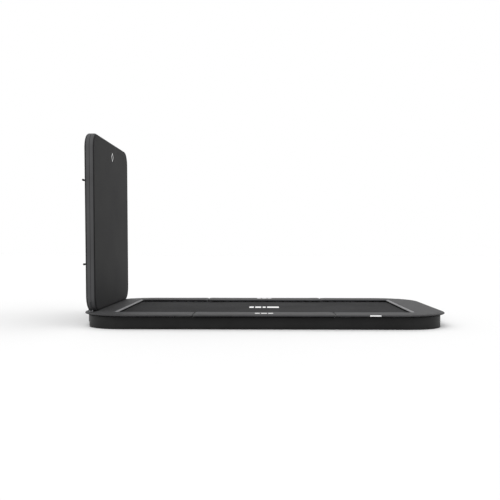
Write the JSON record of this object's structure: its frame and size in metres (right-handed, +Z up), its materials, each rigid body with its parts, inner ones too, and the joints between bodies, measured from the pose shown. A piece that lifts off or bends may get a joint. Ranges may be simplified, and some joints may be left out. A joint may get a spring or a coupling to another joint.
{
  "type": "trampoline",
  "caption": "Rectangular flat-ground trampoline with padded edges, a sprung jumping mat in a steel frame and an upright inflatable rebound wall at one short end.",
  "frame": {"origin": "centre of the rectangular footprint, on the ground plane under the foot plates and the skirt", "axes": "+X along the bed's long side away from the wall, +Y across the bed to its back long side, +Z up"},
  "size_m": [4.1, 2.5, 2.1685],
  "materials": {
    "galvanised_tube": "satin",
    "spring_steel": "satin",
    "buckle_steel": "satin",
    "black_tube": "satin",
    "skirt_plastic": "matte",
    "black_plastic": "satin",
    "pad_cover": "matte",
    "bed_mesh": "matte",
    "webbing": "matte",
    "wall_fabric": "satin"
  },
  "bodies": {
    "base": {"frame_end_left": "galvanised_tube", "frame_end_right": "galvanised_tube", "frame_rail_front": "galvanised_tube", "frame_rail_back": "galvanised_tube", "frame_coupler_front_left": "galvanised_tube", "frame_coupler_front_right": "galvanised_tube", "frame_coupler_back_left": "galvanised_tube", "frame_coupler_back_right": "galvanised_tube", "leg_1": "galvanised_tube", "leg_2": "galvanised_tube", "leg_3": "galvanised_tube", "leg_4": "galvanised_tube", "leg_5": "galvanised_tube", "leg_6": "galvanised_tube", "skirt_front": "skirt_plastic", "skirt_back": "skirt_plastic", "skirt_left": "skirt_plastic", "skirt_right": "skirt_plastic", "skirt_corner_front_left": "skirt_plastic", "skirt_corner_front_right": "skirt_plastic", "skirt_corner_back_left": "skirt_plastic", "skirt_corner_back_right": "skirt_plastic", "springs_front": "spring_steel", "springs_back": "spring_steel", "springs_left": "spring_steel", "springs_right": "spring_steel", "end_pad_left": "pad_cover", "end_pad_right": "pad_cover", "upright_socket_front": "black_tube", "upright_socket_back": "black_tube", "tie_buckle_front": "buckle_steel", "tie_buckle_back": "buckle_steel"},
    "bed": {"jump_mat": "bed_mesh", "mat_webbing_front": "webbing", "mat_webbing_back": "webbing", "mat_webbing_left": "webbing", "mat_webbing_right": "webbing"},
    "front_pad": {"side_pad_front": "pad_cover"},
    "back_pad": {"side_pad_back": "pad_cover"},
    "wall": {"wall_panel": "wall_fabric", "wall_upright_front": "black_tube", "wall_upright_back": "black_tube", "wall_crossbar_low": "black_tube", "wall_crossbar_high": "black_tube", "crossbar_saddle_front_low": "black_plastic", "crossbar_saddle_front_high": "black_plastic", "crossbar_saddle_back_low": "black_plastic", "crossbar_saddle_back_high": "black_plastic", "back_loop_front_low": "webbing", "back_loop_front_high": "webbing", "back_loop_back_low": "webbing", "back_loop_back_high": "webbing", "valve_body": "black_plastic"},
    "valve_cap": {"valve_cap": "black_plastic"},
    "valve_pin": {"valve_pin": "black_plastic"},
    "front_knob": {"clamp_knob_front": "black_plastic"},
    "back_knob": {"clamp_knob_back": "black_plastic"},
    "front_lever": {"tie_lever_front": "black_plastic"},
    "back_lever": {"tie_lever_back": "black_plastic"}
  },
  "joints": [
    {"name": "bed_travel", "type": "slide", "parent": "base", "child": "bed", "axis": [0, 0, 1], "range_m": [-0.45, 0], "stiffness_N_per_m": 4500},
    {"name": "front_pad_lift", "type": "hinge", "parent": "base", "child": "front_pad", "pos_m": [0, -1.25, 0.138], "axis": [1, 0, 0], "range_deg": [0, 100]},
    {"name": "back_pad_lift", "type": "hinge", "parent": "base", "child": "back_pad", "pos_m": [0, 1.25, 0.138], "axis": [-1, 0, 0], "range_deg": [0, 100]},
    {"name": "wall_lift", "type": "slide", "parent": "base", "child": "wall", "axis": [0, 0, 1], "range_m": [0, 0.25]},
    {"name": "valve_cap_flip", "type": "hinge", "parent": "wall", "child": "valve_cap", "pos_m": [-2.0003, 0.278, 0.438], "axis": [0, 0, -1], "range_deg": [0, 150]},
    {"name": "valve_pin_press", "type": "slide", "parent": "wall", "child": "valve_pin", "axis": [1, 0, 0], "range_m": [0, 0.004], "stiffness_N_per_m": 600},
    {"name": "front_knob_turn", "type": "hinge", "parent": "base", "child": "front_knob", "pos_m": [-2.0085, -0.68, 0.202], "axis": [0, 1, 0], "range_deg": [0, 360]},
    {"name": "back_knob_turn", "type": "hinge", "parent": "base", "child": "back_knob", "pos_m": [-2.0085, 0.68, 0.202], "axis": [0, -1, 0], "range_deg": [0, 360]},
    {"name": "front_lever_open", "type": "hinge", "parent": "base", "child": "front_lever", "pos_m": [-1.936, -0.965, 0.18], "axis": [1, 0, 0], "range_deg": [0, 80]},
    {"name": "back_lever_open", "type": "hinge", "parent": "base", "child": "back_lever", "pos_m": [-1.936, 0.965, 0.18], "axis": [-1, 0, 0], "range_deg": [0, 80]}
  ]
}
